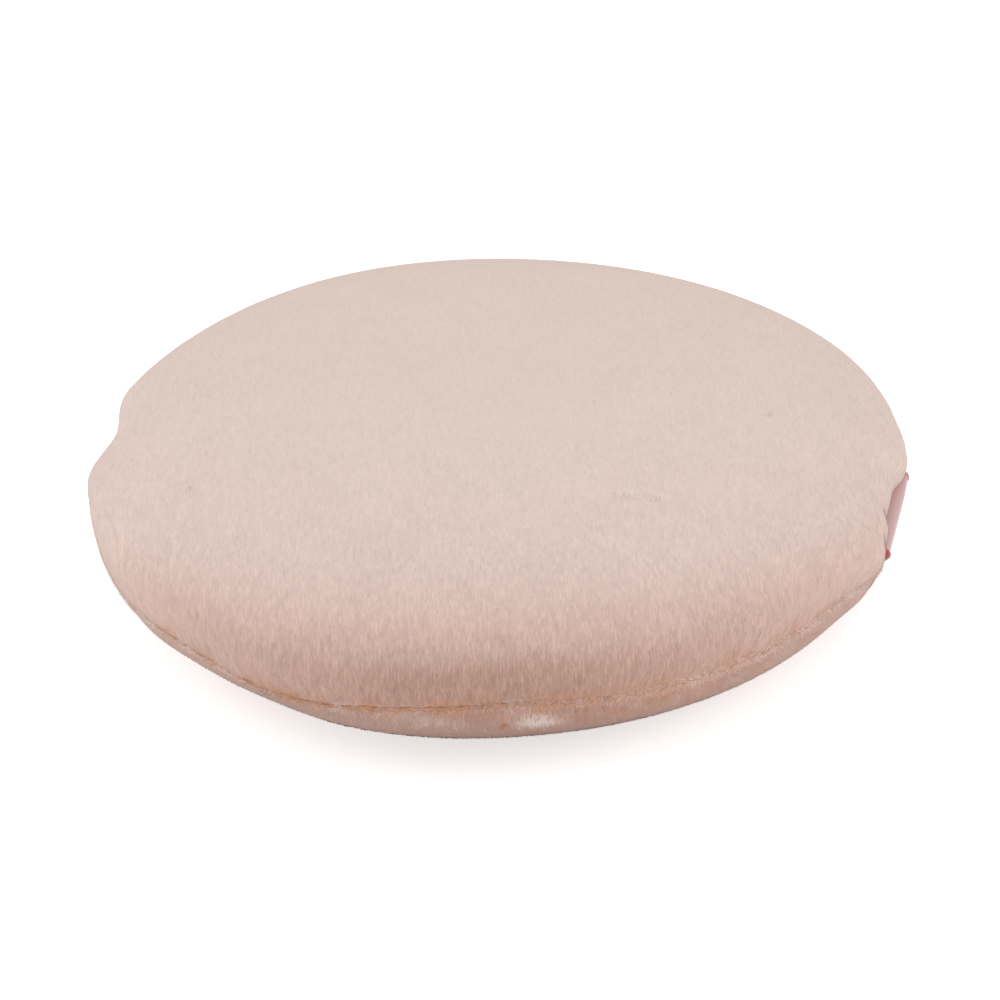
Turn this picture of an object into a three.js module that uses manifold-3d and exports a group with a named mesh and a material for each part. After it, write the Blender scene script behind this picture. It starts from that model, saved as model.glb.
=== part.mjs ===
// A round powder puff: two velour panels sewn edge to edge round a foam core, with a satin finger
// band across the back whose ends are caught in the seam.
// Millimetres, +Z up. The puff lies on its back, on the plane z = 0, and the band runs along X.

import * as THREE from "three";
import { mergeVertices } from "three/addons/utils/BufferGeometryUtils.js";
import Module from "manifold-3d";

// Driving dimensions of the pad.
const PAD_RADIUS = 40; // at the widest line of the face panel
const BACK_HEIGHT = 9; // resting plane to the seam
const FACE_HEIGHT = 8.5; // seam to the top of the crown
const REST_RADIUS = 20; // flat area that the pad lies on
const RIM_HEIGHT = 2; // seam to the widest line of each panel
const BACK_STEP = 0.4; // the back panel is this much narrower than the face panel
const CROWN_FULLNESS = 2.1; // 2 is an ellipse, more is flatter on top and rounder at the rim
const CLOTH = 1.3; // velour, knit and pile together

// Driving dimensions of the seam.
const SEAM_INSET = 0.8; // the seam lies this far inside the widest line
const SEAM_GAP = 1; // between the two turned edges, where the band ends go in
const SEAM_ALLOWANCE = 5; // width of each turned edge
const EDGE_CLOTH = 0.8; // thickness of a turned edge, pressed by the stitches
const STITCH_INSET = 2.5; // stitch line inside the seam
const STITCH_PITCH = 4.8;
const THREAD_RADIUS = 0.25;
const THREAD_CLEARANCE = 0.15;

// Driving dimensions of the finger band.
const BAND_WIDTH = 15;
const BAND_THICKNESS = 0.4;
const BAND_RECESS = 0.2; // the band lies this far above the resting plane, sunk in the pile
const BAND_BEND = 0.9; // radius of the band's turn into the seam
const BAND_PULL = 1.3; // the band draws the rim in this far
const BAND_BOW = 1; // the band stands out this far at the side before it turns into the seam
const CORNER_SHARPNESS = 150; // of the rim where the pulled-in stretch meets the circle
const PULL_REACH = 4; // power of the radius by which the pull fades towards the middle

const CLEARANCE = 0.3;

// How finely the round forms are cut.
const SEGMENTS = 56;
const CROWDING = 0.3; // share by which the segments crowd together at the band's ends
const CROWN_STEPS = 7;
const DISH_STEPS = 6;
const CURL_STEPS = 2;
const BEND_STEPS = 4;
const THREAD_SIDES = 6;

// Heights and radii that follow from them.
const SEAM_Z = BACK_HEIGHT;
const TOP_Z = BACK_HEIGHT + FACE_HEIGHT;
const FACE_RIM_Z = SEAM_Z + RIM_HEIGHT;
const BACK_RIM_Z = SEAM_Z - RIM_HEIGHT;
const BACK_RADIUS = PAD_RADIUS - BACK_STEP;
const SEAM_RADIUS = PAD_RADIUS - SEAM_INSET;
const EDGE_RADIUS = SEAM_RADIUS - SEAM_ALLOWANCE;
const STITCH_RADIUS = SEAM_RADIUS - STITCH_INSET;
const HALF_GAP = SEAM_GAP / 2;
const HALF_EDGES = HALF_GAP + EDGE_CLOTH;
const HALF_STITCH = HALF_EDGES + THREAD_CLEARANCE + THREAD_RADIUS;
const HALF_GROOVE = HALF_STITCH + THREAD_RADIUS + CLEARANCE;

const wasm = await Module();
wasm.setup();

function solidOf(geometry) {
  return new wasm.Manifold(
    new wasm.Mesh({
      numProp: 3,
      vertProperties: new Float32Array(geometry.getAttribute("position").array),
      triVerts: new Uint32Array(geometry.getIndex().array),
    })
  );
}

function geometryOf(solid) {
  const mesh = solid.getMesh();
  const geometry = new THREE.BufferGeometry();
  geometry.setAttribute("position", new THREE.BufferAttribute(mesh.vertProperties, mesh.numProp));
  geometry.setIndex(new THREE.BufferAttribute(mesh.triVerts, 1));
  return geometry;
}

// A three.js shape with its shared corners merged, ready to cut with.
function closed(geometry) {
  geometry.deleteAttribute("normal");
  geometry.deleteAttribute("uv");
  return mergeVertices(geometry);
}

// Radius of the rim at an angle: a circle, drawn in to a straight chord at each end of the band.
function rimRadius(angle) {
  const chord = (PAD_RADIUS - BAND_PULL) / Math.max(Math.abs(Math.cos(angle)), 0.01);
  const sum = PAD_RADIUS ** -CORNER_SHARPNESS + chord ** -CORNER_SHARPNESS;
  return sum ** (-1 / CORNER_SHARPNESS);
}

// The pull of the band is full at the rim and fades towards the middle.
function drawnIn(radius, angle) {
  const share = (radius / PAD_RADIUS) ** PULL_REACH;
  return radius * (1 - share * (1 - rimRadius(angle) / PAD_RADIUS));
}

// Angles round the pad, closer together at the band's ends.
const ANGLES = Array.from({ length: SEGMENTS }, (_, i) => {
  const even = (2 * Math.PI * i) / SEGMENTS;
  return even - (CROWDING / 2) * Math.sin(2 * even);
});

// Turns a profile of [radius, height] points round Z, from its upper point on the axis to its
// lower one, following the drawn-in rim.
function turned(profile) {
  const rings = profile.slice(1, -1);
  const positions = [0, 0, profile[0][1]];
  for (const [radius, z] of rings) {
    for (const angle of ANGLES) {
      const r = drawnIn(radius, angle);
      positions.push(r * Math.cos(angle), r * Math.sin(angle), z);
    }
  }
  positions.push(0, 0, profile[profile.length - 1][1]);
  const last = positions.length / 3 - 1;
  const at = (ring, i) => 1 + ring * SEGMENTS + (i % SEGMENTS);
  const index = [];
  for (let i = 0; i < SEGMENTS; i++) {
    index.push(0, at(0, i), at(0, i + 1));
    for (let ring = 0; ring + 1 < rings.length; ring++) {
      index.push(at(ring, i), at(ring + 1, i), at(ring + 1, i + 1));
      index.push(at(ring, i), at(ring + 1, i + 1), at(ring, i + 1));
    }
    index.push(at(rings.length - 1, i), last, at(rings.length - 1, i + 1));
  }
  const geometry = new THREE.BufferGeometry();
  geometry.setAttribute("position", new THREE.Float32BufferAttribute(positions, 3));
  geometry.setIndex(index);
  return geometry;
}

// Quarter of a superellipse, from the axis out to the rim.
function crownLine(radius, rimZ, topZ, steps) {
  const power = 2 / CROWN_FULLNESS;
  return Array.from({ length: steps + 1 }, (_, i) => {
    const t = (Math.PI / 2) * (i / steps);
    const out = i === steps ? 1 : Math.sin(t) ** power;
    const up = i === steps ? 0 : Math.cos(t) ** power;
    return [radius * out, rimZ + (topZ - rimZ) * up];
  });
}

// From the edge of the flat resting area out and up to the rim, a quarter of an ellipse.
function dishLine(radius, floorZ, rimZ, steps) {
  return Array.from({ length: steps + 1 }, (_, i) => {
    const t = (Math.PI / 2) * (i / steps);
    const out = REST_RADIUS + (radius - REST_RADIUS) * Math.sin(t);
    return [out, rimZ - (rimZ - floorZ) * Math.cos(t)];
  });
}

// From a panel's widest line in to the seam, without the first point.
function curlLine(radius, rimZ, seamZ) {
  return Array.from({ length: CURL_STEPS }, (_, i) => {
    const t = (Math.PI / 2) * ((i + 1) / CURL_STEPS);
    const out = SEAM_RADIUS + (radius - SEAM_RADIUS) * Math.cos(t);
    return [out, rimZ + (seamZ - rimZ) * Math.sin(t)];
  });
}

// A line of [x, z] points moved sideways, to the left of its direction for a positive distance.
function offsetLine(line, distance) {
  return line.map(([x, z], i) => {
    const [x0, z0] = line[Math.max(i - 1, 0)];
    const [x1, z1] = line[Math.min(i + 1, line.length - 1)];
    const length = Math.hypot(x1 - x0, z1 - z0);
    return [x - (distance * (z1 - z0)) / length, z + (distance * (x1 - x0)) / length];
  });
}

// The turned edge of a panel, from the seam in to its cut edge and back to the inside of the cloth.
function edgeLine(side) {
  return [
    [EDGE_RADIUS, SEAM_Z + side * HALF_GAP],
    [EDGE_RADIUS, SEAM_Z + side * HALF_EDGES],
    [SEAM_RADIUS - CLOTH, SEAM_Z + side * HALF_EDGES],
  ];
}

const FACE_INSIDE = crownLine(PAD_RADIUS - CLOTH, FACE_RIM_Z, TOP_Z - CLOTH, CROWN_STEPS);
const BACK_INSIDE = dishLine(BACK_RADIUS - CLOTH, CLOTH, BACK_RIM_Z, DISH_STEPS);

function facePanel() {
  return turned([
    ...crownLine(PAD_RADIUS, FACE_RIM_Z, TOP_Z, CROWN_STEPS),
    ...curlLine(PAD_RADIUS, FACE_RIM_Z, SEAM_Z + HALF_GAP),
    ...edgeLine(1),
    ...FACE_INSIDE.toReversed(),
  ]);
}

function backPanel() {
  const fromTheOutside = [
    [0, 0],
    ...dishLine(BACK_RADIUS, 0, BACK_RIM_Z, DISH_STEPS),
    ...curlLine(BACK_RADIUS, BACK_RIM_Z, SEAM_Z - HALF_GAP),
    ...edgeLine(-1),
    ...BACK_INSIDE.toReversed(),
    [0, CLOTH],
  ];
  return turned(fromTheOutside.toReversed());
}

// The foam fills the cover, with a groove round its rim for the turned edges and the stitches.
function foamCore() {
  const grooveRadius = EDGE_RADIUS - CLEARANCE;
  const above = offsetLine(FACE_INSIDE, -CLEARANCE).filter(([, z]) => z > SEAM_Z + HALF_GROOVE);
  const below = offsetLine(BACK_INSIDE, CLEARANCE).filter(([, z]) => z < SEAM_Z - HALF_GROOVE);
  return turned([
    [0, above[0][1]],
    ...above.slice(1),
    [above[above.length - 1][0], SEAM_Z + HALF_GROOVE],
    [grooveRadius, SEAM_Z + HALF_GROOVE],
    [grooveRadius, SEAM_Z - HALF_GROOVE],
    [below[below.length - 1][0], SEAM_Z - HALF_GROOVE],
    ...below.toReversed(),
    [0, below[0][1]],
  ]);
}

// Outer line of the finger band in the XZ plane, from the middle of the back to the right seam.
function bandLine() {
  const dish = dishLine(BACK_RADIUS, BAND_RECESS, BACK_RIM_Z, DISH_STEPS);
  const outside = dish.map(([radius, z]) => {
    const bow = BAND_BOW * (z / BACK_RIM_Z) ** 2;
    return [drawnIn(radius, 0) + bow, z];
  });
  const side = outside[outside.length - 1][0];
  const bend = Array.from({ length: BEND_STEPS + 1 }, (_, i) => {
    const t = (Math.PI / 2) * (i / BEND_STEPS);
    const topZ = SEAM_Z + BAND_THICKNESS / 2;
    return [side - BAND_BEND * (1 - Math.cos(t)), topZ - BAND_BEND * (1 - Math.sin(t))];
  });
  return [...outside, ...bend];
}

// A strip across the back: the band's line, from so far outside it to so far inside it.
function strip(outward, inward, width) {
  const right = bandLine();
  const line = [...right.map(([x, z]) => [-x, z]).toReversed(), ...right];
  const outer = offsetLine(line, -outward);
  const inner = offsetLine(line, inward);
  const shape = new THREE.Shape();
  [...outer, ...inner.toReversed()].forEach(([x, z], i) =>
    i ? shape.lineTo(x, z) : shape.moveTo(x, z)
  );
  const geometry = new THREE.ExtrudeGeometry(shape, { depth: width, bevelEnabled: false });
  geometry.translate(0, 0, -width / 2);
  geometry.rotateX(Math.PI / 2);
  return closed(geometry);
}

// The stretch of band caught between the turned edges, at the end of the band on one side.
function bandEnd(side) {
  const line = bandLine();
  const outer = line[line.length - 1][0] - CLEARANCE;
  const inner = drawnIn(EDGE_RADIUS, 0) + CLEARANCE;
  const geometry = new THREE.BoxGeometry(outer - inner, BAND_WIDTH, BAND_THICKNESS);
  geometry.translate((side * (outer + inner)) / 2, 0, SEAM_Z);
  return closed(geometry);
}

// Places of the stitches round the seam, an even number, none on the middle of the band.
function stitchAngles() {
  const pairs = Math.round((Math.PI * STITCH_RADIUS) / STITCH_PITCH);
  return Array.from({ length: 2 * pairs }, (_, i) => (Math.PI * (i + 0.5)) / pairs);
}

// One thread in running stitch, in and out through both turned edges, closed on itself.
function seamThread() {
  const angles = stitchAngles();
  const corners = angles.flatMap((angle, i) => {
    const lean = i % 2 ? 1 : -1;
    return [{ angle, lean, side: lean }, { angle, lean, side: -lean }];
  });
  const positions = corners.flatMap(({ angle, lean, side }) => {
    const radius = drawnIn(STITCH_RADIUS, angle);
    const outward = new THREE.Vector3(Math.cos(angle), Math.sin(angle), 0);
    const mitre = new THREE.Vector3(-lean * Math.sin(angle), lean * Math.cos(angle), 1);
    const middle = outward.clone().multiplyScalar(radius).setZ(SEAM_Z + side * HALF_STITCH);
    return Array.from({ length: THREAD_SIDES }, (_, k) => {
      const t = (2 * Math.PI * k) / THREAD_SIDES;
      const point = middle.clone();
      point.addScaledVector(outward, THREAD_RADIUS * Math.cos(t));
      point.addScaledVector(mitre, THREAD_RADIUS * Math.sin(t));
      return point.toArray();
    }).flat();
  });
  const index = [];
  const at = (ring, k) => (ring % corners.length) * THREAD_SIDES + (k % THREAD_SIDES);
  for (let ring = 0; ring < corners.length; ring++) {
    for (let k = 0; k < THREAD_SIDES; k++) {
      index.push(at(ring, k), at(ring + 1, k), at(ring + 1, k + 1));
      index.push(at(ring, k), at(ring + 1, k + 1), at(ring, k + 1));
    }
  }
  const geometry = new THREE.BufferGeometry();
  geometry.setAttribute("position", new THREE.Float32BufferAttribute(positions, 3));
  geometry.setIndex(index);
  return geometry;
}

// Needle holes, one square pin for each stitch, tall enough to go through both turned edges.
function needlePins() {
  const width = 2 * (THREAD_RADIUS + THREAD_CLEARANCE);
  return stitchAngles().map((angle) => {
    const pin = new THREE.BoxGeometry(width, width, 2 * HALF_STITCH);
    pin.translate(drawnIn(STITCH_RADIUS, angle), 0, SEAM_Z);
    pin.rotateZ(angle);
    return solidOf(closed(pin));
  });
}

const PINS = wasm.Manifold.union(needlePins());
const CHANNEL_OPEN = BAND_BEND; // the channel's cut reaches this far outside the band

function stitched(geometry) {
  return geometryOf(solidOf(geometry).subtract(PINS));
}

function channelled(geometry) {
  const cut = strip(CHANNEL_OPEN, BAND_THICKNESS + CLEARANCE, BAND_WIDTH + 2 * CLEARANCE);
  return geometryOf(solidOf(geometry).subtract(solidOf(cut)));
}

const velourFace = new THREE.MeshStandardMaterial({ color: 0xdecbc1, roughness: 1, metalness: 0 });
const velourBack = new THREE.MeshStandardMaterial({ color: 0xcfa99f, roughness: 1, metalness: 0 });
const foam = new THREE.MeshStandardMaterial({ color: 0xf0e6d2, roughness: 0.95, metalness: 0 });
const satin = new THREE.MeshStandardMaterial({ color: 0xcda09c, roughness: 0.45, metalness: 0 });
const thread = new THREE.MeshStandardMaterial({ color: 0xbe8c6e, roughness: 0.85, metalness: 0 });

const puff = new THREE.Group();

function add(name, geometry, material) {
  geometry.computeVertexNormals();
  const mesh = new THREE.Mesh(geometry, material);
  mesh.name = name;
  puff.add(mesh);
}

add("face_panel", stitched(facePanel()), velourFace);
add("back_panel", stitched(channelled(backPanel())), velourBack);
add("foam_core", foamCore(), foam);
add("finger_band", strip(0, BAND_THICKNESS, BAND_WIDTH), satin);
add("band_end_left", stitched(bandEnd(-1)), satin);
add("band_end_right", stitched(bandEnd(1)), satin);
add("seam_thread", seamThread(), thread);

export default puff;
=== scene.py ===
# %% [markdown]
# # A velour powder puff
# Two round velour panels are sewn rim to rim over a foam core, and a satin band for the fingers
# crosses the back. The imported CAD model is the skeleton: it gives the sizes and the two motions
# (the face sinks, the band lifts). This lesson dresses that skeleton with cloth, pile, satin and
# thread. Everything is worked out in millimetres with numpy and turned to metres at the very end.

# %% Load the frame
import bpy
import numpy as np
from mathutils import Matrix


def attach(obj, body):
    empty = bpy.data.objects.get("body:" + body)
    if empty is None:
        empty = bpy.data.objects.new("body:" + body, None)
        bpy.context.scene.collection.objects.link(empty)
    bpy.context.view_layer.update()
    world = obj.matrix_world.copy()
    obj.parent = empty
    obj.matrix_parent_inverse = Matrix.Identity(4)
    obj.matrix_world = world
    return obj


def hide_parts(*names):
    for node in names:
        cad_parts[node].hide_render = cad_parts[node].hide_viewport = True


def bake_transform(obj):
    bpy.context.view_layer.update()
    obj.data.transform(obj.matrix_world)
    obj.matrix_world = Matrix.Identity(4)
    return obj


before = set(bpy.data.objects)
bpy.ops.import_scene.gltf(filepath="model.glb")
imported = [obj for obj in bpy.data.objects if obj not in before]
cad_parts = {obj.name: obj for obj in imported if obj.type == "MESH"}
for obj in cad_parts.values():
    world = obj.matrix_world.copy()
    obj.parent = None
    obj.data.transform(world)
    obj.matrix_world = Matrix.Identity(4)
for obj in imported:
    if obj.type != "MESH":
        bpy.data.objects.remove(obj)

MM = 0.001
scene = bpy.context.scene
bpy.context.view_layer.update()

# %% [markdown]
# ## Camera
# A long lens stands about 45 cm away, 31 degrees up, 13 degrees round from the front and rolled
# by 2 degrees. Its three axes are written out as vectors, which avoids guessing at an order of
# rotations.

# %% Camera
ELEVATION, AZIMUTH, ROLL = np.radians([31.12, 13.0, 1.87])
TARGET, DISTANCE = np.array([0.0, 0.0, 9.0]), 450.0
SENSOR, FOCAL_LENGTH, SHIFT_X, SHIFT_Y = 36.0, 165.8, 0.00392, -0.02162


def linked(name, data):
    """A new object with this data, in the scene."""
    made = bpy.data.objects.new(name, data)
    scene.collection.objects.link(made)
    return made


def placed(name, data, axes, spot):
    """A new object with its three axes and its place, in metres, written into its matrix."""
    made, matrix = linked(name, data), np.eye(4)
    matrix[:3, :3], matrix[:3, 3] = np.transpose(axes), spot
    made.matrix_world = Matrix(matrix.tolist())
    return made


aside = np.array([np.cos(AZIMUTH), np.sin(AZIMUTH), 0])
upward = np.array([-np.sin(ELEVATION) * np.sin(AZIMUTH),
                   np.sin(ELEVATION) * np.cos(AZIMUTH), np.cos(ELEVATION)])
backward = np.cross(aside, upward)
rolled = (np.cos(ROLL) * aside - np.sin(ROLL) * upward,
          np.sin(ROLL) * aside + np.cos(ROLL) * upward)
lens = bpy.data.cameras.new("camera")
lens.sensor_width, lens.lens = SENSOR, FOCAL_LENGTH
lens.shift_x, lens.shift_y = SHIFT_X, SHIFT_Y
scene.camera = placed("camera", lens, (*rolled, backward), (TARGET + DISTANCE * backward) * MM)
scene.view_settings.view_transform = "Standard"
print("camera at", np.round(scene.camera.location, 4))

# %% [markdown]
# ## The form of the pad
# The pad is not quite round: the band draws the rim in at both of its ends, and the rim sags a
# little at the front where the puff has been pressed. Each cover is a line of radius and height,
# turned round the axis, drawn in and settled. One pair of functions does that for every piece, so
# the pieces keep clear of each other wherever they bend.

# %% Bells, steps and angles
def smooth(low, high, x):
    """Smooth step: 0 below low, 1 above high, and three t squared less two t cubed between them."""
    t = np.clip((x - low) / (high - low), 0, 1)
    return t * t * (3 - 2 * t)


def bell(x, width):
    """A bell round zero: e to the power of minus the square of x over the width."""
    return np.exp(-((x / width) ** 2))


def degrees_from(angle, middle):
    """Signed degrees from a middle direction to an angle in radians, within half a turn."""
    return (np.degrees(angle) - middle + 180) % 360 - 180


def lobes(angle, *parts):
    """A sum of bells in the direction: each part is a weight, and a middle and width in degrees."""
    return sum(weight * bell(degrees_from(angle, middle), width) for weight, middle, width in parts)


def lopsided(angle, middle, left, right):
    """A bell in the direction with one width on the left of its middle, another on the right."""
    turn = degrees_from(angle, middle)
    return bell(turn, np.where(turn > 0, right, left))


def unit(v):
    """Vectors divided by their lengths."""
    return v / np.maximum(np.linalg.norm(v, axis=-1, keepdims=True), 1e-12)


def joined(*parts):
    """Arrays side by side in a new last axis."""
    return np.stack(parts, -1)


print("a smooth step at a quarter is", smooth(0, 1, 0.25))

# %% Drawn in at the band, settled at the front
PAD_RADIUS, SEAM_Z, TOP_Z = 40.0, 9.0, 17.5
RIM_POWER = 14


def rim_pull(angle):
    """How far the rim is drawn in: a smooth step up times a step down at each end of the band,
    with bells in front of the left end, less the bells where the pad is fuller than round."""
    left, right = degrees_from(angle, 180), degrees_from(angle, 0)
    at_left = 2.0 * smooth(-10, 3, left) * (1 - smooth(4, 14.3, left))
    at_right = 1.25 * smooth(-9.5, -4, right) * (1 - smooth(4.5, 9.6, right))
    beside = lobes(angle, (0.1, -164, 9), (0.35, -151, 8), (0.22, -142, 8))
    fuller = lobes(angle, (1.3, 126, 25), (-0.3, 88, 20), (0.35, 38, 16), (0.25, 11.5, 6))
    return at_left + beside + at_right - fuller


def drawn(radius, pull):
    """A radius less the pull, times a high power of the radius's share of the pad's, so that the
    pull fades quickly towards the middle."""
    return radius * (1 - (radius / PAD_RADIUS) ** RIM_POWER * pull / PAD_RADIUS)


def turned(radius, height, angle):
    """Points at a radius, height and angle, drawn in by the rim's pull, less a bump in front of the
    band's right end that is lower below the seam."""
    bump = lobes(angle, (1.5, -16.2, 4.2)) * (0.4 + 0.6 * smooth(8.2, 9.4, height))
    r = drawn(radius, rim_pull(angle) - bump)
    return joined(r * np.cos(angle), r * np.sin(angle), height + 0 * angle)


def settled(points):
    """Sags the rim: the height drops by a step and bells in the angle, times smooth steps in the
    radius and the height that spare the middle, the table side and the crown. Below the seam the
    belly, a hump in the height, grows or shrinks by more bells in the angle."""
    x, y, z = np.moveaxis(points, -1, 0)
    angle, r = np.arctan2(y, x), np.hypot(x, y)
    front, side = smooth(0.1, 0.8, -np.sin(angle)), lobes(angle, (1.0, -146, 15))
    sag = 0.35 * front + lobes(angle, (1.1, -106, 15), (-0.4, -75, 8)) + 1.2 * side
    share = smooth(22, 39, r) * smooth(3, 8, z) * (1 - 0.7 * smooth(10, 16, z))
    belly = smooth(0, 4, z) * (1 - smooth(6.8, 8.6, z)) * smooth(22, 36, r)
    full = lobes(angle, (0.2, -88, 20), (-0.5, -111, 10), (-0.42, -126, 9), (-0.45, -142, 9),
                 (-0.25, -18, 16))
    grow = 1 + (0.4 * (sag - side) * share * smooth(7, 9, z) + full * belly) / PAD_RADIUS
    return joined(x * grow, y * grow, z - sag * share - 0.6 * full * belly)


print("rim pull at most", rim_pull(np.radians(np.arange(360.0))).max().round(2), "mm")

# %% [markdown]
# ## The lines of the two covers and the ribbon
# Velour is a knitted ground with pile on it, and the ground lies a pile's depth inside the outer
# form. The face's line runs over the crown, round the widest part, in to the seam and on to the
# turned edge; the back's does the same from the flat patch that the puff lies on. Cloth is cut
# flat, so each line is kept with its length: a point of the cloth is known by its place on a flat
# disc. The ribbon's line comes here too, because the back cover makes a bed for it.

# %% Lines with their lengths
PILE, CROWN_DROP = 0.25, 0.35
REST_RADIUS, BACK_RADIUS = 20.0, 39.6
FACE_RIM_Z, BACK_RIM_Z = 10.8, 7.2
FACE_SEAM_R, BACK_SEAM_R, EDGE_R = 39.5, 39.15, 36.0
SEAM_GAP, EDGE_GAP = 0.15, 0.2
CROWN_POWER = 2.1
quarter = np.linspace(0, np.pi / 2, 160)


def lengths(line):
    """The length along a line of points, from its first point to each."""
    return np.r_[0, np.cumsum(np.linalg.norm(np.diff(line, axis=0), axis=1))]


def measured(side, seam_r, *runs):
    """A cover: runs of radius and height joined end to end, less doubled points, with the length
    along them and at the seam, the side that faces out, and no swelling yet."""
    line = np.concatenate(runs)
    line = line[np.r_[True, np.diff(lengths(line)) > 1e-6]]
    along = lengths(line)
    return {"r": line[:, 0], "z": line[:, 1], "s": along, "end": along[-1], "side": side,
            "seam": along[-1] - (seam_r - EDGE_R), "swell": np.zeros((2, 2, 3))}


def quarter_run(start, end, power=2.0):
    """A quarter of a superellipse that leaves its start level and comes to its end upright."""
    out, left = np.sin(quarter) ** (2 / power), np.cos(quarter).clip(0) ** (2 / power)
    return joined(start[0] + (end[0] - start[0]) * out, end[1] + (start[1] - end[1]) * left)


def dish_run(radius, low, high):
    """From the axis along the flat patch, then a quarter of an ellipse out and up to the rim."""
    return np.concatenate([[[0, low]], quarter_run((REST_RADIUS, low), (radius, high))])


face_rim = PAD_RADIUS - PILE, FACE_RIM_Z
face_cloth = measured(
    1, FACE_SEAM_R, quarter_run((0, TOP_Z - PILE - CROWN_DROP), face_rim, CROWN_POWER),
    quarter_run((FACE_SEAM_R, SEAM_Z + SEAM_GAP), face_rim)[::-1],
    [[EDGE_R, SEAM_Z + EDGE_GAP]])
back_cloth = measured(
    -1, BACK_SEAM_R, dish_run(BACK_RADIUS - PILE, PILE, BACK_RIM_Z),
    quarter_run((BACK_SEAM_R, SEAM_Z - SEAM_GAP), (BACK_RADIUS - PILE, BACK_RIM_Z))[::-1],
    [[EDGE_R, SEAM_Z - EDGE_GAP]])
print("flat discs of", face_cloth["end"].round(1), "and", back_cloth["end"].round(1), "mm")

# %% The ribbon's line
BAND_WIDTH, BAND_THICKNESS, BAND_RECESS = 15.0, 0.36, 0.22
BAND_BEND, BAND_HEM, BED = 0.5, 1.8, 0.4
BAND_PULL, BAND_BOW, BOW_HEIGHTS = {1: 1.35, -1: 2.0}, {1: 1.2, -1: 0.2}, (7.5, 8.6)
BAND_STEPS, CLIMB_STEPS = 150, 20


def band_run(pull, bow):
    """The outer line of half the ribbon and the length along it, in even steps: the dish's line,
    drawn in, up to the rim and the seam, with a bow outwards by a smooth step in the height, then
    a quarter turn into the seam."""
    top = SEAM_Z + 0.25
    climb = np.linspace(BACK_RIM_Z + 0.05, top - BAND_BEND, CLIMB_STEPS)
    dish = np.concatenate([dish_run(BACK_RADIUS, BAND_RECESS, BACK_RIM_Z),
                           joined(np.full(CLIMB_STEPS, BACK_RADIUS), climb)])
    x = drawn(dish[:, 0], pull) + bow * smooth(*BOW_HEIGHTS, dish[:, 1])
    turn = quarter_run((x[-1] - BAND_BEND, top), (x[-1], top - BAND_BEND))[::-1]
    line = np.concatenate([joined(x, dish[:, 1]), turn, [[turn[-1, 0] - BAND_HEM, top]]])
    along = lengths(line)
    even = np.linspace(0, along[-1], BAND_STEPS)
    return joined(*(np.interp(even, along, side) for side in line.T)), even


band_lines = {side: band_run(BAND_PULL[side], BAND_BOW[side]) for side in (1, -1)}
print("the halves are", *(run[1][-1].round(1) for run in band_lines.values()), "mm long")

# %% [markdown]
# ## From a square grid to a round cloth
# Rings and spokes crowd their points in the middle of a disc. The concentric map bends a square
# grid into a disc instead: its squares become rings. It has a simple way back, so any point of
# the flat cloth can be looked up in the grid.

# %% The concentric map and its way back
def disc_of(a, b):
    """Square to disc: the larger of a and b is the radius, and the other gives the angle."""
    wide = np.abs(a) >= np.abs(b)
    radius = np.where(wide, a, b)
    ratio = np.divide(np.where(wide, b, a), radius, out=np.zeros_like(radius),
                      where=np.abs(radius) > 1e-12)
    angle = np.where(wide, ratio, 2 - ratio) * np.pi / 4
    return radius * np.cos(angle), radius * np.sin(angle)


def square_of(u, v):
    """Disc to square: the radius goes to the side that faces the angle, and the angle's share of
    an eighth turn, times the radius, to the other."""
    radius = np.hypot(u, v)
    angle = (np.arctan2(v, u) + np.pi / 4) % (2 * np.pi) - np.pi / 4
    side = np.floor((angle + np.pi / 4) / (np.pi / 2)).astype(int) % 4
    share = (angle - side * np.pi / 2) / (np.pi / 4) * radius
    a = np.choose(side, [radius, -share, -radius, share])
    b = np.choose(side, [share, radius, -share, -radius])
    return a, b


def looked_up(grid, a, b):
    """Reads a grid of vectors at a and b, from -1 to 1: the weighted mean of the four nearest."""
    n = grid.shape[0] - 1
    x, y = (np.clip((c + 1) / 2 * n, 0, n - 1e-6) for c in (a, b))
    i, j = x.astype(int), y.astype(int)
    p, q = (x - i)[..., None], (y - j)[..., None]
    return ((1 - p) * ((1 - q) * grid[i, j] + q * grid[i, j + 1])
            + p * ((1 - q) * grid[i + 1, j] + q * grid[i + 1, j + 1]))


print("there and back again:", np.round(square_of(*disc_of(np.array(0.3), np.array(-0.7))), 3))


# %% A cover in space
def bedded(points):
    """The bed of the ribbon: within its width and below the seam, points move to the bed's depth
    inside the ribbon's line, up where it is flat and in where it climbs, unless they are deeper.
    Smooth steps end the bed and share it between the two directions."""
    x, y, z = np.moveaxis(points, -1, 0)
    beside = smooth(BAND_WIDTH / 2 + 0.3, BAND_WIDTH / 2 + 2.5, np.abs(y))
    share = (1 - beside) * (1 - smooth(8.85, 9.05, z))
    for side, (run, _) in band_lines.items():
        widest = np.argmax(run[:, 0]) + 1
        flat, climb = slice(0, widest), slice(np.argmax(run[:, 1] > 0.8), widest)
        floor_z = np.interp(side * x, run[flat, 0], run[flat, 1]) + BED
        limit = np.interp(z, run[climb, 1], run[climb, 0]) - BED
        x_in = side * np.maximum(side * x - limit, 0) * share * smooth(1.0, 2.0, z)
        here = (side * x > 0) * (1 - smooth(33, 36, side * x))
        z = z + np.maximum(floor_z - z, 0) * share * here
        x = x - x_in
    return joined(x, y, z)


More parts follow.
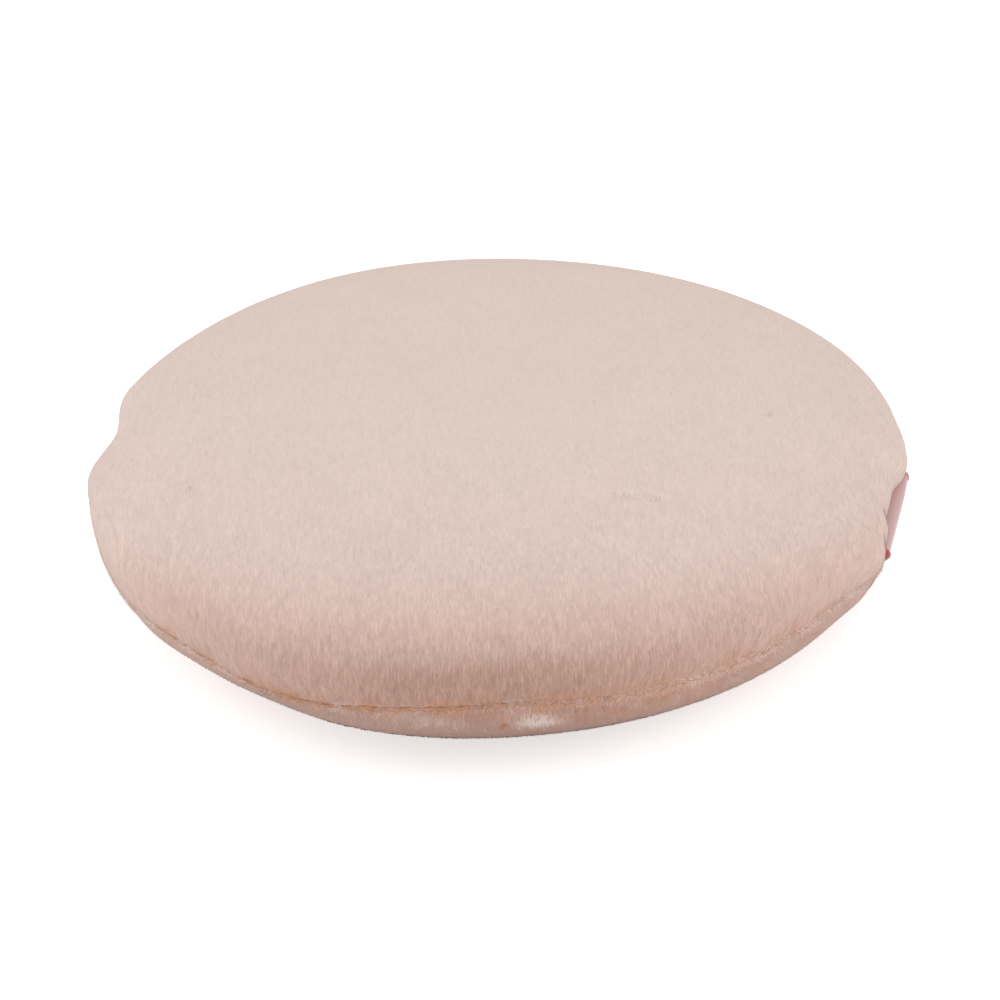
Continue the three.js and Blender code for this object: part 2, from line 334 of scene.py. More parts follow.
def skin(cloth, u, v):
    """A cover: flat cloth point to space. The length from the middle gives radius and height on
    the line, the direction gives the angle; then it is drawn in and settled, swells with the
    stuffing and makes room for the ribbon."""
    s, angle, end = np.hypot(u, v), np.arctan2(v, u), cloth["end"]
    radius, height = (np.interp(s, cloth["s"], cloth[key]) for key in "rz")
    reach = np.minimum(1, end / np.maximum(s, 1e-9)) / end
    return bedded(settled(turned(radius, height, angle))
                  + looked_up(cloth["swell"], *square_of(u * reach, v * reach)))


def skin_normal(cloth, u, v):
    """Outward normal: the cross product of two short steps, turned over for the back."""
    step = 0.2
    du = skin(cloth, u + step, v) - skin(cloth, u - step, v)
    dv = skin(cloth, u, v + step) - skin(cloth, u, v - step)
    return cloth["side"] * unit(np.cross(du, dv))


def flat_grid(n, end):
    """A square grid of n by n points, bent into a flat disc whose radius is end."""
    u, v = disc_of(*np.meshgrid(*[np.linspace(-1, 1, n)] * 2, indexing="ij"))
    return u * end, v * end


JUST_INSIDE = 0.999
print("crown at", skin(face_cloth, np.zeros(1), np.zeros(1))[0].round(2))

# %% [markdown]
# ## Stuffing the covers
# A sewn cover over foam is fuller between the stitches and pinched at each one. Blender's cloth
# does this: the open cover is pinned along its turned edge and at every stitch, and a little
# pressure with no gravity lets it swell, ten times too large, because a small object is hard on
# the solver. Foam holds the cloth smooth away from the seam, so only what differs from stitch to
# stitch near it is kept, capped at an eighth of a millimetre and read from a finer grid, because
# a coarse one would show in the shading.

# %% The cloth simulation
SIM_GRID, SIM_SCALE, SIM_FRAMES = 97, 0.01, 16
STITCHES, RIM, SWELL_CAP = 48, 39, 0.12
PIN_DEPTH, PIN_REACH, EVENINGS = 0.9, 0.6, 10
CLOTH = {"quality": 6, "mass": 0.2, "tension_stiffness": 30, "compression_stiffness": 30,
         "shear_stiffness": 15, "bending_stiffness": 1.0, "vertex_group_mass": "stitches",
         "use_pressure": True, "uniform_pressure_force": 4.0}


def quads_of(rows, columns):
    """Corner numbers of the quads of a grid of points, row by row."""
    i = np.arange(rows * columns).reshape(rows, columns)
    return joined(i[:-1, :-1], i[1:, :-1], i[1:, 1:], i[:-1, 1:]).reshape(-1, 4)


def mesh_of(name, points, faces):
    """A mesh from points in metres and an array of faces that all have as many corners."""
    mesh = bpy.data.meshes.new(name)
    mesh.vertices.add(points.size // 3)
    mesh.vertices.foreach_set("co", np.asarray(points, np.float32).ravel())
    mesh.loops.add(faces.size)
    mesh.loops.foreach_set("vertex_index", faces.astype(np.int32).ravel())
    mesh.polygons.add(len(faces))
    starts = np.arange(0, faces.size, faces.shape[1], dtype=np.int32)
    mesh.polygons.foreach_set("loop_start", starts)
    mesh.update(calc_edges=True)
    mesh.validate()
    return mesh


def evened(grid, times):
    """Each value becomes the mean of itself, counted twice, and its neighbours, so many times."""
    for _ in range(times):
        wide = np.pad(grid, ((1, 1), (1, 1), (0, 0)), mode="edge")
        grid = (wide[:-2, 1:-1] + wide[2:, 1:-1] + wide[1:-1, :-2] + wide[1:-1, 2:] + 2 * grid) / 6
    return grid


def blown_up(points, faces, held):
    """Where the points of a cover end up when its cloth swells, pinned where held."""
    cover = linked("stuffing", mesh_of("stuffing", points * SIM_SCALE, faces))
    pins = cover.vertex_groups.new(name="stitches")
    pins.add(np.flatnonzero(held).tolist(), 1.0, "REPLACE")
    cloth = cover.modifiers.new("cloth", "CLOTH")
    for key, value in CLOTH.items():
        setattr(cloth.settings, key, value)
    cloth.settings.effector_weights.gravity = 0
    cloth.collision_settings.use_collision = False
    cloth.point_cache.frame_end = SIM_FRAMES
    for number in range(1, SIM_FRAMES + 1):
        scene.frame_set(number)
    now = np.zeros(points.size, np.float32)
    swollen = cover.evaluated_get(bpy.context.evaluated_depsgraph_get())
    swollen.data.vertices.foreach_get("co", now)
    scene.frame_set(1)
    bpy.data.objects.remove(cover)
    return now.reshape(-1, 3) * (1 / SIM_SCALE)


def stuffed(cloth):
    """Displacement of a cover after the cloth has swollen: along the normal, less the mean of its
    ring, times a smooth step towards the seam."""
    u, v = flat_grid(SIM_GRID, cloth["end"])
    start = skin(cloth, u, v).reshape(-1, 3)
    s, angle = np.hypot(u, v).ravel(), np.arctan2(v, u).ravel()
    to_stitch = np.abs((angle / (2 * np.pi) * STITCHES) % 1 - 0.5) * 2 * np.pi * RIM / STITCHES
    held = (s > cloth["seam"]) | ((s > cloth["seam"] - PIN_DEPTH) & (to_stitch < PIN_REACH))
    moved = blown_up(start, quads_of(SIM_GRID, SIM_GRID)[:, ::cloth["side"]], held) - start
    out = skin_normal(cloth, u * JUST_INSIDE, v * JUST_INSIDE)
    amount = np.sum(moved.reshape(out.shape) * out, -1)
    far = np.abs(np.arange(SIM_GRID) - SIM_GRID // 2)
    ring = np.maximum(far[:, None], far[None])
    mean = (np.bincount(ring.ravel(), amount.ravel()) / np.bincount(ring.ravel()))[ring]
    print("swelling", amount.mean().round(2), "mm on average")
    near = smooth(0.92, 0.99, np.hypot(u, v) / cloth["seam"])
    puff = SWELL_CAP * np.tanh((amount - mean) / SWELL_CAP) * near
    fine = np.linspace(-1, 1, 4 * SIM_GRID - 3)
    finer = looked_up(puff[..., None] * out, *np.meshgrid(fine, fine, indexing="ij"))
    return evened(finer, EVENINGS)


for cloth in (face_cloth, back_cloth):
    cloth["swell"] = stuffed(cloth)

# %% [markdown]
# ## Building a cover
# A cover is a closed shell: the outer cloth, an inner one a ground's thickness further in, and a
# strip that joins their cut edges. The map for baking gives each wall half of the picture and the
# strip a line along its foot. The ribbon is closed in the same way.

# %% Shells and pieces
COVER_GRID, GROUND = 161, 0.5


def closed(outer, inner, side):
    """Points and quads of a closed shell: the outer grid, the inner one turned over, and a strip
    that joins their borders. A side of -1 turns every quad over."""
    rows, columns = outer.shape[:2]
    count = rows * columns
    i = np.arange(count).reshape(rows, columns)
    rim = np.concatenate([i[:-1, 0], i[-1, :-1], i[:0:-1, -1], i[0, :0:-1]])
    after, quads = np.roll(rim, -1), quads_of(rows, columns)
    strip = joined(after, rim, rim + count, after + count)
    faces = np.concatenate([quads, quads[:, ::-1] + count, strip])
    return np.stack([outer, inner]), faces[:, ::side]


def shell_maps(n, faces, side):
    """Map corners of a cover: half of the picture for each wall, and a line along the foot for
    the strip."""
    grid = joined(*np.meshgrid(*[np.linspace(0.01, 0.99, n)] * 2, indexing="ij")).reshape(-1, 2)
    walls = np.concatenate([grid * [0.5, 0.95] + [left, 0.04] for left in (0, 0.5)])
    count = 4 * (n - 1)
    along = np.arange(count) / count
    foot = joined(joined(along + 1 / count, along, along, along + 1 / count),
                  np.broadcast_to([0.005, 0.005, 0.03, 0.03], (count, 4)))
    return np.concatenate([walls[faces[:-count]], foot[:, ::side]])


def piece(name, points, faces, material, maps=None, **values):
    """A finished object at the origin from points in millimetres, with its map and point values."""
    mesh = mesh_of(name, points * MM, faces)
    mesh.polygons.foreach_set("use_smooth", np.ones(len(mesh.polygons), bool))
    if maps is not None:
        layer = mesh.uv_layers.new(name="OFBake")
        layer.uv.foreach_set("vector", np.asarray(maps, np.float32).ravel())
    for key, value in values.items():
        store = mesh.attributes.new(key, "FLOAT", "POINT")
        store.data.foreach_set("value", np.asarray(value, np.float32).ravel())
    mesh.materials.append(material)
    print(name, len(mesh.vertices), "points,", len(mesh.polygons), "faces")
    return linked(name, mesh)


print("each wall of a cover has", COVER_GRID**2, "points")

# %% [markdown]
# ## Small irregularities
# Nothing sewn is even. Soft noise is a lattice of random numbers read with smooth steps between
# its points; it wanders over a few millimetres and comes out the same on every run, because the
# lattice comes from a fixed seed.

# %% Soft noise
LATTICE = 128


def soft_noise(x, y, cell, seed):
    """Random lattice values from -1 to 1, blended with smooth steps inside each square cell."""
    table = np.random.default_rng(seed).uniform(-1, 1, (LATTICE, LATTICE))
    x, y = np.asarray(x) / cell, np.asarray(y) / cell
    i, j = np.floor(x).astype(int), np.floor(y).astype(int)
    p, q = smooth(0, 1, x - i), smooth(0, 1, y - j)
    i, j, k, m = (number % LATTICE for number in (i, j, i + 1, j + 1))
    return ((1 - p) * ((1 - q) * table[i, j] + q * table[i, m])
            + p * ((1 - q) * table[k, j] + q * table[k, m]))


print("noise sample", soft_noise(3.3, 1.2, 2.0, 5).round(3))

# %% [markdown]
# ## Velour colour
# Pile is palest at its tips, warmer further down, where light bounces from hair to hair, and dark
# at its roots. One node group does that for every velour surface. It also varies from tuft to
# tuft, and turns tan next to the seam and pale where the back is worn. The values come from the
# points of each piece (up, tone, tan, pale), so the colour moves with the cloth. A low up is
# painted shade, towards the root colours on the steep front. Short words for nodes come first.

# %% Short words for nodes
def feed(socket, value):
    """Gives an input a value: a link if the value is another node's socket, or else a constant."""
    if isinstance(value, bpy.types.NodeSocket):
        socket.id_data.links.new(value, socket)
    else:
        socket.default_value = value


def filled(node, **inputs):
    """Feeds a node's inputs by name, with underscores for spaces, and gives the node back."""
    for label, value in inputs.items():
        feed(node.inputs[label.replace("_", " ")], value)
    return node


def added(tree, kind, **inputs):
    """A new shader node of a kind, with its inputs fed."""
    return filled(tree.nodes.new("ShaderNode" + kind), **inputs)


def mixed(tree, factor, first, second, kind="MIX"):
    """A colour mix: factor, first and second are sockets or plain values."""
    node = added(tree, "Mix")
    node.data_type, node.blend_type = "RGBA", kind
    for number, value in ((0, factor), (6, first), (7, second)):
        feed(node.inputs[number], value)
    return node.outputs[2]


def sums(tree, kind, first, second=0):
    """A math node: first and second are sockets or numbers."""
    node = added(tree, "Math")
    node.operation = kind
    for socket, value in zip(node.inputs, (first, second)):
        feed(socket, value)
    return node.outputs[0]


def point_value(tree, name):
    """What the points of the piece hold under a name."""
    node = added(tree, "Attribute")
    node.attribute_name = name
    return node.outputs["Fac"]


def noise(tree, scale, detail, place=None):
    """The noise node, at a place or else at the Object coordinates."""
    if place is None:
        place = added(tree, "TexCoord").outputs["Object"]
    return added(tree, "TexNoise", Vector=place, Scale=scale, Detail=detail).outputs["Fac"]


def bumps(tree, height, strength, distance):
    """The normal of a surface that stands up where the height is large."""
    node = added(tree, "Bump", Height=height, Strength=strength, Distance=distance)
    return node.outputs["Normal"]


def new_material(name):
    """A node material, its tree and its Principled shader."""
    material = bpy.data.materials.new(name)
    material.use_nodes = True
    return material, material.node_tree, material.node_tree.nodes["Principled BSDF"]


# %% The pile colour group
WARM_UP = 0.7
pile_colour = tree = bpy.data.node_groups.new("pile colour", "ShaderNodeTree")
for label in ("Root", "Warm", "Tip", "Tan", "Pale", "Unevenness"):
    kind = "NodeSocketFloat" if label == "Unevenness" else "NodeSocketColor"
    tree.interface.new_socket(label, in_out="INPUT", socket_type=kind)
tree.interface.new_socket("Colour", in_out="OUTPUT", socket_type="NodeSocketColor")
given = tree.nodes.new("NodeGroupInput").outputs
up, tone, tan, pale = (point_value(tree, name) for name in ("up", "tone", "tan", "pale"))
# A low up mixes towards Warm and Root: painted shade on the steep front.
to_tip = sums(tree, "DIVIDE", sums(tree, "SUBTRACT", up, WARM_UP), 1 - WARM_UP)
hair = mixed(tree, to_tip, given["Warm"], given["Tip"])
hair = mixed(tree, sums(tree, "DIVIDE", up, WARM_UP), given["Root"], hair)
hair = mixed(tree, tan, hair, given["Tan"])
hair = mixed(tree, pale, hair, given["Pale"])
cloud = sums(tree, "SUBTRACT", noise(tree, 140.0, 2.0), 0.5)
cloud = sums(tree, "MULTIPLY", cloud, given["Unevenness"])
level = sums(tree, "ADD", sums(tree, "ADD", cloud, tone), 1.0)
shade = added(tree, "CombineColor", Red=level, Green=level, Blue=level).outputs[0]
filled(tree.nodes.new("NodeGroupOutput"), Colour=mixed(tree, 1.0, hair, shade, "MULTIPLY"))
print("group", pile_colour.name, "with", len(pile_colour.nodes), "nodes")


# %% Velour materials
def velour(name, **colours):
    """Matt pile, whose sheen comes from its hairs; colours are linear."""
    material, tree, shader = new_material(name)
    group = added(tree, "Group")
    group.node_tree = pile_colour
    filled(group, Unevenness=0.05, **{label: (*rgb, 1) for label, rgb in colours.items()})
    filled(shader, Base_Color=group.outputs["Colour"], Roughness=0.9, Specular_IOR_Level=0.0)
    return material


# Root and Warm are where painted shade takes the pile on the steep front; Tip is the cloth.
face_velour = velour("velour_face", Root=(0.432, 0.268, 0.213), Warm=(0.638, 0.448, 0.39),
                     Tip=(0.728, 0.594, 0.536), Tan=(0.52, 0.26, 0.16), Pale=(0.80, 0.70, 0.65))
# The back wears the face's cloth, written darker and warmer: painted shade below the rim.
back_velour = velour("velour_back", Root=(0.42, 0.273, 0.231), Warm=(0.57, 0.398, 0.342),
                     Tip=(0.66, 0.475, 0.415), Tan=(0.43, 0.235, 0.16), Pale=(0.72, 0.60, 0.56))
print("materials", face_velour.name, "and", back_velour.name)

# %% [markdown]
# ## The two covers
# First comes what differs from place to place: where the seam is tan, where the pile opens and
# painted shade falls on the steep front, and the marks of use, a crease among them painted as
# shade. Then each cover is one call. The face's crown sinks when pressed while its sewn edge stays
# with the pad; here its cover is made in place, in no body. The back cover stays with the pad.

# %% Tan, opening with painted shade, and marks
COMB = np.radians(-77.0)
TAN_SEED = 11
CREASE = (14.2, -13.1), (18.6, -12.7)
SPECKS = (-26.37, -16.13, 0.24), (-25.56, -6.45, 0.16), (9.51, 2.46, 0.14), (26.17, 5.4, 0.15)
WORN = (-72.4, 3.0, 6.9, 0.6, 0.95), (-86.5, 3.6, 7.1, 0.45, 0.42)


def round_rim(angle):
    """The place on the seam's circle in a direction, where noise is read round the rim."""
    return RIM * np.cos(angle), RIM * np.sin(angle)


def seam_tan(angle):
    """How tan the cloth is along the seam: soft noise of three sizes, most at the front."""
    uneven = sum(amount * soft_noise(*round_rim(angle), cell, TAN_SEED + k)
                 for k, (amount, cell) in enumerate(((0.6, 1.3), (0.35, 5.0), (0.55, 0.45))))
    return (0.15 + 0.85 * lopsided(angle, -92, 50, 72)) * np.clip(0.6 + uneven, 0.05, 1)


def front_shade(angle):
    """Painted shade where hairs lean down the slope: a bell round the front, wider on the right."""
    return lopsided(angle, -80, 46, 50)


def opening_and_shade(cloth, u, v):
    """How far the pile opens to its roots, and painted shade: a smooth step in the slope of the
    cover's line, times a bell in the direction, since hairs that lean down the slope part and the
    rest close. It makes the steep front darker."""
    slope = np.interp(np.hypot(u, v), cloth["s"], np.abs(np.gradient(cloth["z"], cloth["s"])))
    return smooth(0.01, 0.64, slope) * front_shade(np.arctan2(v, u))


def face_marks(base, values):
    """A short crease in the pile, by the distance from a straight stretch: painted shade along it,
    with a painted highlight on one side. A few specks of dust, each a bell."""
    first, last = np.array(CREASE)
    way, gap = unit(last - first), base[:, :2] - first
    beside, along = way[0] * gap[:, 1] - way[1] * gap[:, 0], gap @ way
    far = np.hypot(beside, along - np.clip(along, 0, np.hypot(*(last - first))))
    # The crease: painted shade along it, then a painted highlight beside it.
    values["tone"] += (-0.18 * bell(far, 0.22) * (beside < 0.15)
                       + 0.05 * bell(far - 0.5, 0.3) * (beside > 0))
    for x, y, size in SPECKS:
        values["tone"] -= 0.45 * bell(np.hypot(base[:, 0] - x, base[:, 1] - y), size)


def back_marks(base, values):
    """No hairs under the band; at the front two worn pale places, mottled cloth and a darker tan
    patch, each a bell in the direction times a bell or step in the height, broken by noise."""
    angle, z = np.arctan2(base[:, 1], base[:, 0]), base[:, 2]
    x = RIM * angle
    values["keep"] &= np.abs(base[:, 1]) > BAND_WIDTH / 2 + 0.2
    for middle, width, low, deep, most in WORN:
        worn = lobes(angle, (1, middle, width)) * bell(z - low, deep)
        worn = np.clip(worn * (most + 0.5 * soft_noise(x, z, 0.7, 61)), 0, 1)
        values["pale"] = np.maximum(values["pale"], worn)
    near = smooth(5.5, 8.4, z) * lobes(angle, (1, -85, 60))
    values["tone"] += near * (0.12 * soft_noise(x, z, 0.9, 62) + 0.08 * soft_noise(x, z, 2.2, 63))
    # A darker tan patch below the seam at the front right.
    tan_patch = lobes(angle, (1, -60, 30)) * bell(z - 7.5, 1.4)
    tan_patch = tan_patch * np.clip(0.55 + 0.5 * soft_noise(x, z, 1.1, 64), 0, 1)
    values["tan"] = np.maximum(values["tan"], tan_patch)


print("hairs lean towards", np.degrees(COMB).round(1), "degrees")


# %% Covers
def cover(name, cloth, material, mark):
    """A closed cover: the skin on the whole flat disc, and the same moved in by the ground's
    thickness. mark(points, values) changes the values."""
    u, v = flat_grid(COVER_GRID, cloth["end"])
    outer = skin(cloth, u, v)
    inner = outer - GROUND * skin_normal(cloth, u * JUST_INSIDE, v * JUST_INSIDE)
    points, faces = closed(outer, inner, cloth["side"])
    s, angle = np.hypot(u, v).ravel(), np.arctan2(v, u).ravel()
    tan = smooth(cloth["seam"] - 0.8, cloth["seam"], s) * seam_tan(angle)
    # up falls where the pile opens: painted shade on the steep front.
    values = {"up": 1 - opening_and_shade(cloth, u, v).ravel(), "tone": 0 * s, "tan": tan, "pale": 0 * s,
              "keep": np.ones(s.size, bool)}
    mark(outer.reshape(-1, 3), values)
    del values["keep"]
    return piece(name, points, faces, material, shell_maps(COVER_GRID, faces, cloth["side"]),
                 **{key: np.tile(value, 2) for key, value in values.items()})


face_cover = cover("face_cover", face_cloth, face_velour, face_marks)
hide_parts("face_panel")
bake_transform(face_cover)

back_cover = cover("back_cover", back_cloth, back_velour, back_marks)
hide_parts("back_panel")
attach(back_cover, "pad")

# %% [markdown]
# ## Pile
# Velour is a field of hairs a millimetre long that all lean one way. A bump can't give the soft
# edge and the fine streaks, and Blender's hair doesn't export, so each hair is a thin closed
# spike of four triangles. It is laid out on the flat disc: a root, a heading along the brushed
# direction with some wander, and a tip that is pulled to the middle of its tuft. The cover's own
# function carries both into space, so the hairs follow every curve and fall over the seam at the
# front. Their shading normals lean towards the cloth's, which gives the soft look of a dense
# pile.

# %% Hairs
TUFT_LENGTH, TUFT_WIDTH, TUFT_ROWS, TUFT_COLUMNS = 0.5, 0.33, 509, 521
SPIKE = np.array([[0, 3, 1], [1, 3, 2], [2, 3, 0], [0, 1, 2]])
SPIKE_MAP = np.array([[0.1, 0.1], [0.9, 0.1], [0.5, 0.3], [0.5, 0.9]])


def tufts(u, v, seed):
    """The tuft of each hair, from cells along and across the brushed direction, staggered by row:
    the signed distance across to its midline, and one random number for each tuft."""
    p, q = u * np.cos(COMB) + v * np.sin(COMB), v * np.cos(COMB) - u * np.sin(COMB)
    row = np.floor(q / TUFT_WIDTH).astype(int)
    table = np.random.default_rng(seed).random((3, TUFT_ROWS, TUFT_COLUMNS))
    column = np.floor(p / TUFT_LENGTH + table[2, row % TUFT_ROWS, 7]).astype(int)
    shift, luck = table[:2, row % TUFT_ROWS, column % TUFT_COLUMNS]
    return (row + 0.25 + 0.5 * shift) * TUFT_WIDTH - q, luck


def spikes(roots, tips, across, width, ridge):
    """Closed spikes of four points and four triangles: a small triangle round each root, as wide
    as the width to both sides and a ridge high, and the tip."""
    lean = unit(tips - roots)
    side = unit(np.cross(lean, across))
    beside, above = width[:, None] * side, ridge[:, None] * np.cross(side, lean)
    points = np.stack([roots - beside, roots + beside, roots + above, tips], 1)
    faces = SPIKE + 4 * np.arange(len(roots))[:, None, None]
    return points, faces.reshape(-1, 3)


def hair_piece(name, material, roots, tips, across, width, ridge, normals, **values):
    """A piece of spikes with a normal for each hair, values for each hair or each of its points,
    and a small cell of the baking map. Hairs this fine throw no shadow: their cloth throws it."""
    count = len(roots)
    cells, k = int(np.ceil(np.sqrt(count))), np.arange(count)
    maps = (joined(k % cells, k // cells)[:, None] + SPIKE_MAP[SPIKE.ravel()]) / cells
    values = {key: np.broadcast_to(np.reshape(value, (count, -1)), (count, 4))
              for key, value in values.items()}
    made = piece(name, *spikes(roots, tips, across, width, ridge), material, maps, **values)
    made.visible_shadow = made.visible_diffuse = False
    made.data.normals_split_custom_set_from_vertices(np.repeat(normals, 4, 0).astype(np.float32))
    return made


print("a tuft is", TUFT_LENGTH, "mm long and", TUFT_WIDTH, "mm wide")


# %% The pile of a cover
def pile(name, cloth, material, mark, *, count, length, lift, width, uneven, shares, seed):
    """Hairs on a cover, in pieces by share of the turn. A tip lies a hair's length from its root
    along the brushed direction, moved across towards its tuft's midline, and a lift above the
    cloth; where it would pass the seam it hangs over it a little. Where the pile opens, hairs are
    shorter, and width, lift and unevenness grow. mark(tips, values) changes the values."""
    dice, seam_s = np.random.default_rng(seed), cloth["seam"]
    s, angle = seam_s * np.sqrt(dice.random(count)), 2 * np.pi * dice.random(count)
    u, v = s * np.cos(angle), s * np.sin(angle)
    gap, luck = tufts(u, v, seed + 1)
    loose = lambda: dice.normal(size=count).clip(-2, 2)
    wander = lambda cell, step: soft_noise(u, v, cell, seed + step)
    base, base_n = skin(cloth, u, v), skin_normal(cloth, u, v)
    # deep is the pile's opening and painted shade; through up it darkens the steep front.
    deep = opening_and_shade(cloth, u, v)
    heading = 4 * wander(7.0, 2) + (0.5 + deep) * wander(1.3, 3) + 5 * loose()
    heading = COMB + np.radians(heading)
    far = length * (1 - 0.3 * deep) * (1 + 0.25 * loose())
    to_tuft = (0.2 + 0.6 * deep) * gap
    tip_u = u + far * np.cos(heading) - to_tuft * np.sin(COMB)
    tip_v = v + far * np.sin(heading) + to_tuft * np.cos(COMB)
    tip_s = np.hypot(tip_u, tip_v)
    over = np.maximum(tip_s - (seam_s - 0.4), 0)
    tip_u, tip_v = tip_u * (1 - over / tip_s), tip_v * (1 - over / tip_s)
    top, top_n = skin(cloth, tip_u, tip_v), skin_normal(cloth, tip_u, tip_v)
    top[:, 2] -= 0.1 * cloth["side"] * over
    high = lift * (0.25 + 1.4 * deep) * (1 + 0.25 * loose() + 0.3 * (luck - 0.5))
    roots, tips = base - 0.01 * base_n, top + high[:, None] * top_n
    tips[:, 2] = np.maximum(tips[:, 2], 0.04)
    thick = width * (0.8 + 0.4 * deep) * (1 + 0.25 * loose())
    tone = uneven * ((luck - 0.5) + 0.25 * loose()) + 0.03 * wander(0.8, 4) + 0.03 * wander(2.5, 5)
    # At the front right the tan band reaches further from the seam.
    tan_from = seam_s - (1.4 + lobes(angle, (0.9, -48, 28)) + 0.6 * wander(1.6, 6))
    tan = [smooth(tan_from, seam_s - 0.2, place) for place in (s, s, s, np.minimum(tip_s, seam_s))]
    values = {"tone": (0.28 + 0.7 * deep**0.3) * tone,
              "tan": np.stack(tan) * 0.85 * seam_tan(angle),
              "pale": np.zeros(count), "keep": np.ones(count, bool)}
    mark(tips, values)
    turn_share = (np.degrees(angle) / 360 * shares).astype(int) % shares
    for k in range(shares):
        own = (turn_share == k) & values["keep"]
        # up falls with deep: painted shade towards the root colours.
        yield hair_piece(
            f"{name}_{k + 1}", material, roots[own], tips[own], top_n[own], thick[own],
            (0.1 + 0.4 * deep[own]) * thick[own], unit(base_n[own] + top_n[own]),
            up=1 - deep[own][:, None] * [1, 1, 1, 0.8], tone=values["tone"][own],
            tan=values["tan"][:, own].T, pale=values["pale"][own])


# %% The face's pile and the back's
for hairs in pile("face_pile", face_cloth, face_velour, face_marks, count=190000, length=1.1,
                  lift=0.10, width=0.055, uneven=0.27, shares=4, seed=100):
    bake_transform(hairs)
for hairs in pile("back_pile", back_cloth, back_velour, back_marks, count=100000, length=0.8,
                  lift=0.06, width=0.042, uneven=0.30, shares=3, seed=200):
    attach(hairs, "pad")

# %% [markdown]
# ## Foam core
# The foam can't be seen from outside, but it is what makes the pad a pad: a round body with a
# groove round its rim for the turned edges, made as a line turned round the axis. Open-cell foam
# is full of tiny pits, which a fine Voronoi bump gives; painted shade darkens each pit.

# %% Foam
FOAM_INSET, FOAM_SIDES, FOAM_EVERY = 2.0, 128, 8
GROOVE_TOP, GROOVE_FOOT = 11.6, 6.4
GROOVE = [[37.0, 11.4], [33.8, 11.2], [33.8, 6.8], [36.6, 6.6]]


def halved(quads):
    """Each quad as two triangles."""
    return np.concatenate([quads[:, [0, 1, 2]], quads[:, [0, 2, 3]]])


def revolved(line, count):
    """Points and triangles of a line of radius and height, from the upper axis point to the lower
    one, turned round the axis."""
    angle = np.linspace(0, 2 * np.pi, count, endpoint=False)
    rings = settled(turned(line[1:-1, :1], line[1:-1, 1:], angle[None, :]))
    points = np.concatenate([[[0, 0, line[0, 1]]], rings.reshape(-1, 3), [[0, 0, line[-1, 1]]]])
    i = 1 + np.arange(rings.shape[0] * count).reshape(-1, count)
    j = np.roll(i, -1, axis=1)
    walls = joined(i[:-1], i[1:], j[1:], j[:-1]).reshape(-1, 4)
    top = joined(0 * i[0], i[0], j[0])
    foot = joined(i[-1], 0 * i[-1] + len(points) - 1, j[-1])
    return points, np.concatenate([halved(walls), top, foot])


foam_material, tree, shader = new_material("foam")
where = added(tree, "TexCoord").outputs["Object"]
pits = added(tree, "TexVoronoi", Vector=where, Scale=1400.0).outputs["Distance"]
# Darker towards the middle of each pit, where the bump sinks: painted shade.
filled(shader, Base_Color=mixed(tree, pits, (0.80, 0.70, 0.52, 1), (0.90, 0.83, 0.68, 1)),
       Normal=bumps(tree, pits, 0.6, 0.0004), Roughness=0.95)

crown = quarter_run((0, TOP_Z - FOAM_INSET), (PAD_RADIUS - FOAM_INSET, FACE_RIM_Z), CROWN_POWER)
crown, dish = crown[::FOAM_EVERY], dish_run(BACK_RADIUS - FOAM_INSET, FOAM_INSET, BACK_RIM_Z)
dish = dish[1::FOAM_EVERY]
foam_line = np.concatenate([crown[crown[:, 1] > GROOVE_TOP], GROOVE,
                            dish[dish[:, 1] < GROOVE_FOOT][::-1], [[0, FOAM_INSET]]])
foam_core = piece("foam_body", *revolved(foam_line, FOAM_SIDES), foam_material)
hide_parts("foam_core")
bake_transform(foam_core)

# %% [markdown]
# ## Finger band
# The band is one satin ribbon, 15 mm wide, with a thicker, darker selvedge along each edge. It
# lies flat on the back, climbs the sides and turns into the seam. When fingers go under it, its
# middle leaves the back while both ends stay sewn, so it is made as two halves that meet in the
# middle.

# %% The ribbon's section
BAND_ACROSS, CORNER_Z = 41, 9.0


def band_half(side):
    """Section carried along the line. Across, from -1 to 1, the outer and inner faces part by the
    thickness, which grows to a bead at both edges and at the front corner of the right end; y is
    half the width times the place across. A shallow wave runs along the free span."""
    line, along = band_lines[side]
    way = unit(np.gradient(line, axis=0))
    out = joined(way[:, 1], -way[:, 0])
    w = np.sin(np.linspace(-np.pi / 2, np.pi / 2, BAND_ACROSS))
    bead = 1 + 0.7 * bell(np.abs(w) - 0.955, 0.035) - 0.75 * smooth(0.985, 1.0, np.abs(w))
    corner = bell(line[:, 1:] - CORNER_Z, 0.45) * smooth(0.90, 0.96, -w) * (side > 0)
    half = BAND_THICKNESS / 2 * (bead + 0.3 * corner)
    tuck = smooth(*BOW_HEIGHTS, line[:, 1:]) * (0.1 * BAND_BOW[side] * smooth(0.4, 1.0, w))
    wave = 0.05 * np.sin(along / 2.3)[:, None] * np.cos(2 * w) * smooth(8, 14, along)[:, None]
    middle = line - out * BAND_THICKNESS / 2
    faces = []
    for offset in (half + wave, wave - half):
        x, z = np.moveaxis(middle[:, None] + out[:, None] * offset[..., None], -1, 0)
        y = np.broadcast_to(w * BAND_WIDTH / 2, x.shape)
        faces.append(joined(side * (x - tuck), y, z))
    return faces, along, w, corner


print("the section has", BAND_ACROSS, "points across")

# %% [markdown]
# Satin shows long floats of thread that run along the ribbon: fine ribs across its width, and a
# sheen that changes with the angle. Both come from the piece's own values, along and across, so
# they bend with the ribbon. A third value reddens the corner of the right end.

